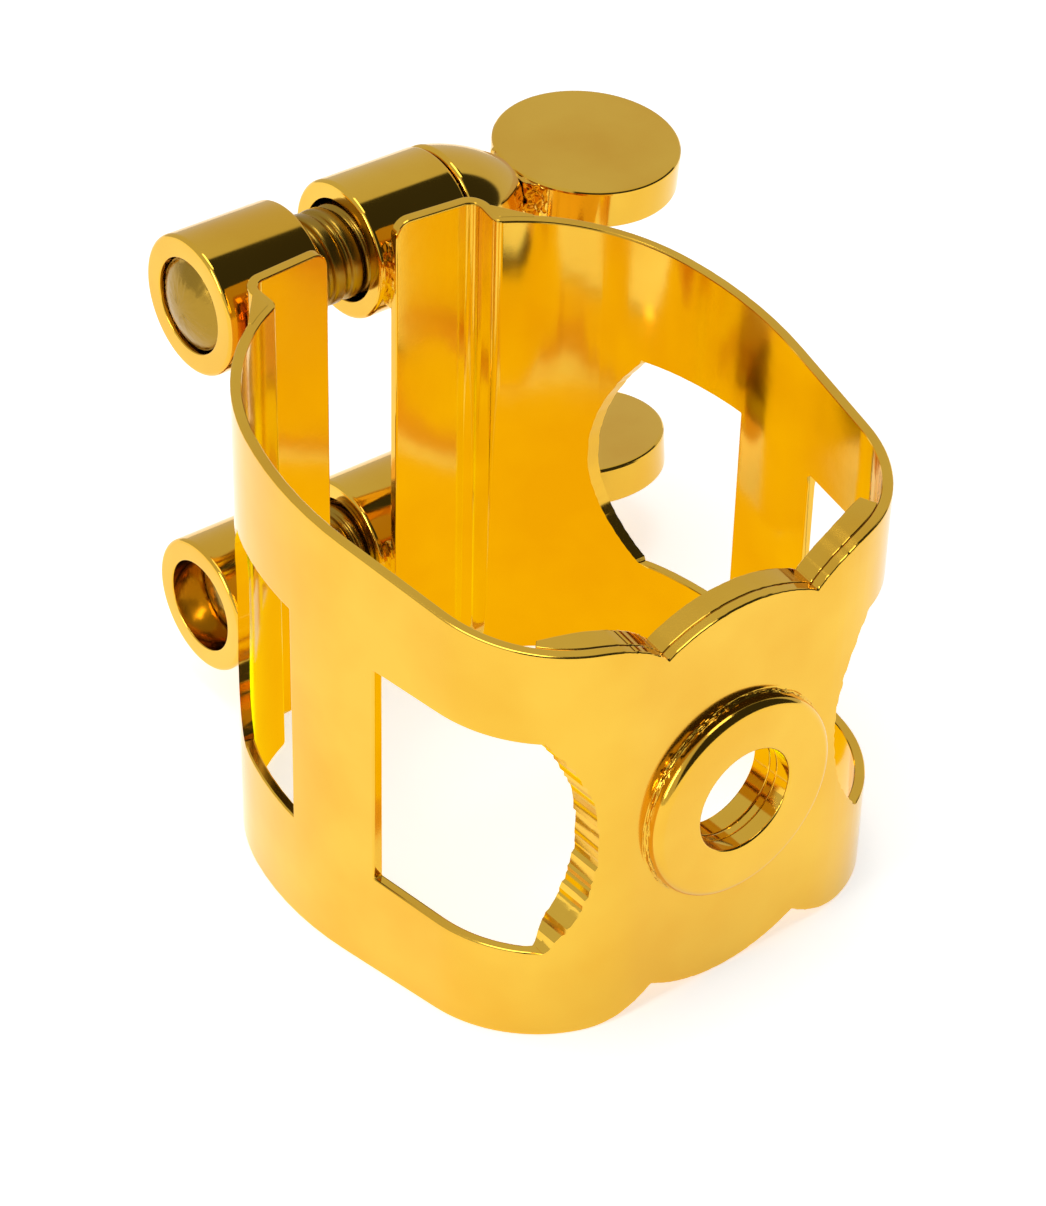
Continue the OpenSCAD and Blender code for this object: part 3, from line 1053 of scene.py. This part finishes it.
class LIGATURE_OT_screws(bpy.types.Operator):
    """Cuts the helical threads and shapes the domed tips and necks of the thumb screws"""

    bl_idname = "ligature.screws"
    bl_label = "Screws"

    def execute(self, context):
        for level in LEVELS:
            piece = screw_parts(level)
            finish(
                piece, gold_screw(), f"{level}_screw_body", [f"{level}_screw"]
            )
        return {"FINISHED"}


class LIGATURE_OT_collars(bpy.types.Operator):
    """Turns the domed collars that bear on the plain barrels"""

    bl_idname = "ligature.collars"
    bl_label = "Collars"

    def execute(self, context):
        turned = settings()[2]
        quarter = math.pi / 2
        for level in LEVELS:
            name = f"{level}_collar"
            low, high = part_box(name)
            radius, long = (high.z - low.z) / 2, high.x - low.x
            bore, lip, soft = turned.neck_r + 0.05 * MM, 0.25 * MM, 0.3 * MM
            rise, run = turned.collar_end - radius, long - lip
            chord = math.hypot(rise, run)
            lean, half = math.atan2(rise, run), math.asin(chord / 2 / turned.dome_r)
            moves = [
                ("straight", radius - bore - lip),
                ("turn", -lip, lean + half),
                ("turn", -turned.dome_r, lean - half * 0.8),
                ("turn", -soft, -quarter),
                ("straight", turned.collar_end - bore - soft),
                ("face", -2 * quarter),
            ]
            piece = lathe(name, (0, bore, quarter), moves, fine=math.radians(4))
            place(piece, shift=(low.x, (low.y + high.y) / 2, (low.z + high.z) / 2))
            finish(piece, gold_turned(), f"{level}_collar_body", [name])
        return {"FINISHED"}


class LIGATURE_OT_heads(bpy.types.Operator):
    """Turns the disc heads that the player grips"""

    bl_idname = "ligature.heads"
    bl_label = "Heads"

    def execute(self, context):
        turned = settings()[2]
        for level, turn in (("upper", turned.upper_turn), ("lower", turned.lower_turn)):
            name = f"{level}_head"
            low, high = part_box(name)
            radius = (high.x - low.x) / 2
            middle = (low + high) / 2
            piece = cylinder(name, radius, turned.head_thick, (0, 0, 0), vertices=160)
            place(piece, (turn, 0, 0), middle)
            finish(
                piece,
                gold_turned(),
                f"{level}_screw_body",
                [name],
                turned.head_edge,
            )
        return {"FINISHED"}


class LIGATURE_OT_head_solder(bpy.types.Operator):
    """Lays the lumpy solder between the necks and the rims of the heads"""

    bl_idname = "ligature.head_solder"
    bl_label = "Head solder"

    def execute(self, context):
        turned = settings()[2]
        for level, turn in (("upper", turned.upper_turn), ("lower", turned.lower_turn)):
            name = f"{level}_head_solder"
            low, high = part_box(f"{level}_head")
            rim = (high.x - low.x) / 2
            near, far, thick = rim + 0.2 * MM, rim - 0.75 * MM, 1.8 * MM
            start, moves = through(
                (-near, -1.1 * MM), (-near, 1.1 * MM), (-far, 2.4 * MM), (-far, -2.4 * MM)
            )
            piece = outline_tool(name, start, moves, thick)
            place(piece, shift=(0, 0, -thick / 2))
            lumpy(piece, 0.09 * MM, 0.4 * MM, 0.45 * MM)
            place(piece, (turn, 0, 0), (low + high) / 2)
            finish(piece, gold_solder(), f"{level}_screw_body", [name])
        return {"FINISHED"}


# Studio


def camera_axes(azimuth, elevation, roll):
    """Right, up and back directions of a camera that looks at the object from an azimuth and
    an elevation."""
    back = Vector(
        (
            math.sin(azimuth) * math.cos(elevation),
            -math.cos(azimuth) * math.cos(elevation),
            math.sin(elevation),
        )
    )
    right = Vector((math.cos(azimuth), math.sin(azimuth), 0))
    up = back.cross(right)
    return (
        right * math.cos(roll) + up * math.sin(roll),
        up * math.cos(roll) - right * math.sin(roll),
        back,
    )


class CameraSizes(bpy.types.PropertyGroup):
    """Place of the camera."""

    azimuth: angle("Azimuth", "Direction of the camera round the object", -39.43)
    elevation: angle("Elevation", "Height of the camera above level", 36.0)
    roll: angle("Roll", "Turn of the camera about its own axis", 1.53)
    distance: length("Distance", "Distance from the middle of the object", 160.59)
    aim_height: length("Aim height", "Height of the middle of the object", 11.12)
    aside: length("Aside", "Shift of the object to the right of the view's middle", 1.319)
    above: length("Above", "Shift of the object above the view's middle", -1.213)
    lens: number("Lens", "Focal length in millimetres on a 36 mm sensor", 107.46)


def disc(name, inner, outer):
    """A flat disc, or a flat ring round one, just under the lower rim."""
    begin()
    bpy.ops.mesh.primitive_circle_add(vertices=128, radius=outer, fill_type="NGON")
    piece = named(name)
    if inner:
        select_all()
        bpy.ops.mesh.inset(thickness=outer - inner)
        bpy.ops.mesh.delete(type="FACE")
        operate("OBJECT")
    place(piece, shift=(0, 0, -0.02 * MM))
    return piece


def pale_surface(name, tone, glow):
    """Matt white sheet, lit a little from behind so that shadows on it stay faint."""
    material = bpy.data.materials.new(name)
    material.use_nodes = True
    surface = material.node_tree.nodes["Principled BSDF"]
    surface.inputs["Base Color"].default_value = (*tone, 1)
    surface.inputs["Roughness"].default_value = 0.8
    surface.inputs["Specular IOR Level"].default_value = 0
    surface.inputs["Emission Color"].default_value = (1, 1, 1, 1)
    surface.inputs["Emission Strength"].default_value = glow
    return material


def soft_box(name, width, height, power, place_at):
    """A rectangular light that faces the object."""
    data = bpy.data.lights.new(name, "AREA")
    data.shape = "RECTANGLE"
    data.size, data.size_y, data.energy = width, height, power
    light = bpy.data.objects.new(name, data)
    light.location = place_at
    light.rotation_euler = Vector(place_at).to_track_quat("Z", "Y").to_euler()
    bpy.context.scene.collection.objects.link(light)


class LIGATURE_OT_studio(bpy.types.Operator):
    """Sets up the pale floor, the soft light and the camera"""

    bl_idname = "ligature.studio"
    bl_label = "Studio"

    def execute(self, context):
        scene = context.scene
        tones, view = scene.ligature_finishes, scene.ligature_camera
        scene.view_settings.view_transform = "Standard"

        table = disc("table", 0, TABLE_R)
        table.data.materials.append(
            pale_surface("white_matt_acrylic", tones.floor, tones.floor_glow)
        )
        surround = disc("surround", TABLE_R, 20 * TABLE_R)
        surround.data.materials.append(pale_surface("white_paper", tones.floor, 0.85))
        surround.visible_glossy = surround.visible_diffuse = False
        # A warm card inside the ring, too low for the camera, that its inner walls reflect
        card = disc("warm_card", 0, 1)
        card.data.materials.append(pale_surface("amber_card", tones.warm, 0))
        # Gold seen in gold would turn too red, so the card answers brighter and greener the
        # more often the light was reflected on its way
        tree = card.data.materials[0].node_tree
        glow = tree.nodes["Principled BSDF"].inputs
        depth = add_node(tree, "ShaderNodeLightPath").outputs["Ray Depth"]
        tenth = add_node(tree, "ShaderNodeMath", {"operation": "MULTIPLY"})
        tree.links.new(depth, tenth.inputs[0])
        tenth.inputs[1].default_value = 0.1
        answer = add_node(tree, "ShaderNodeValToRGB", Fac=tenth.outputs[0])
        answer.color_ramp.interpolation = "CONSTANT"
        stops = answer.color_ramp.elements
        stops[1].position = 0.15
        stops.new(0.25)
        strength = 3.5
        for bounces, stop in enumerate(stops):
            gain = [1.15 / strength / c**bounces for c in tones.gold[:2]]
            stop.color = (tones.warm[0] * gain[0], tones.warm[1] * gain[1], tones.warm[2] / 5, 1)
        tree.links.new(answer.outputs["Color"], glow["Emission Color"])
        glow["Emission Strength"].default_value = strength
        glow["Base Color"].default_value = (0, 0, 0, 1)
        place(card, shift=(0, 2.2 * MM, 0.05 * MM), scale=(11.8 * MM, 12.7 * MM, 1))
        card.visible_camera = card.visible_shadow = card.visible_diffuse = False

        # The room: white for the camera, and for the metal a grey backdrop behind the object
        # and a dark side in front of it, to the right
        world = bpy.data.worlds.new("room")
        scene.world = world
        world.use_nodes = True
        tree = world.node_tree
        tree.nodes.clear()
        direction = add_node(tree, "ShaderNodeTexCoord").outputs["Generated"]
        dark_side = Vector((0.35, -0.8, 0.48)).normalized()
        toward = add_node(
            tree, "ShaderNodeVectorMath", {"operation": "DOT_PRODUCT"}, Vector=direction
        )
        toward.inputs[1].default_value = dark_side
        ramp = add_node(tree, "ShaderNodeValToRGB", Fac=toward.outputs["Value"])
        stops = ramp.color_ramp.elements
        stops[0].position, stops[0].color = 0.53, (tones.backdrop,) * 3 + (1,)
        stops[1].position, stops[1].color = 0.57, (tones.dark,) * 3 + (1,)
        seen = add_node(tree, "ShaderNodeLightPath").outputs["Is Camera Ray"]
        room = add_node(tree, "ShaderNodeBackground", Color=ramp.outputs["Color"])
        white = add_node(tree, "ShaderNodeBackground", {"Color": (1, 1, 1, 1)})
        both = add_node(tree, "ShaderNodeMixShader")
        tree.links.new(seen, both.inputs[0])
        tree.links.new(room.outputs[0], both.inputs[1])
        tree.links.new(white.outputs[0], both.inputs[2])
        add_node(tree, "ShaderNodeOutputWorld", Surface=both.outputs[0])

        soft_box("overhead", 0.24, 0.24, tones.overhead, (0, 0, 0.5))
        soft_box("window", 0.1, 0.3, tones.window, (-0.55, -0.03, 0.22))

        right, up_axis, back = camera_axes(view.azimuth, view.elevation, view.roll)
        eye = Vector((0, 0, view.aim_height)) + view.distance * back
        eye -= view.aside * right + view.above * up_axis
        data = bpy.data.cameras.new("camera")
        data.lens, data.sensor_width, data.clip_start, data.clip_end = view.lens, 36, 0.01, 10
        camera = bpy.data.objects.new("camera", data)
        scene.collection.objects.link(camera)
        turned = Matrix((right, up_axis, back)).transposed().to_4x4()
        camera.matrix_world = Matrix.Translation(eye) @ turned
        scene.camera = camera
        return {"FINISHED"}


class VIEW3D_PT_ligature(bpy.types.Panel):
    """Sizes, colours and steps of the ligature"""

    bl_label = "Ligature"
    bl_space_type = "VIEW_3D"
    bl_region_type = "UI"
    bl_category = "Ligature"

    def draw(self, context):
        for operator in OPERATORS:
            self.layout.operator(operator.bl_idname)
        for group, kind in GROUPS.items():
            box = self.layout.box()
            for name in kind.__annotations__:
                box.prop(getattr(context.scene, group), name)


OPERATORS = (
    LIGATURE_OT_band,
    LIGATURE_OT_inner_plate,
    LIGATURE_OT_crease_solder,
    LIGATURE_OT_ring,
    LIGATURE_OT_barrels,
    LIGATURE_OT_seams,
    LIGATURE_OT_screws,
    LIGATURE_OT_collars,
    LIGATURE_OT_heads,
    LIGATURE_OT_head_solder,
    LIGATURE_OT_studio,
)
GROUPS = {
    "ligature_band": BandSizes,
    "ligature_windows": WindowSizes,
    "ligature_turned": TurnedSizes,
    "ligature_finishes": Finishes,
    "ligature_camera": CameraSizes,
}


def register():
    for kind in (*GROUPS.values(), *OPERATORS, VIEW3D_PT_ligature):
        bpy.utils.register_class(kind)
    for group, kind in GROUPS.items():
        setattr(bpy.types.Scene, group, bpy.props.PointerProperty(type=kind))


def unregister():
    for group in GROUPS:
        delattr(bpy.types.Scene, group)
    for kind in reversed((*GROUPS.values(), *OPERATORS, VIEW3D_PT_ligature)):
        bpy.utils.unregister_class(kind)


def main():
    register()
    for operator in OPERATORS:
        getattr(bpy.ops.ligature, operator.bl_idname.split(".")[1])()


if __name__ == "__main__":
    main()
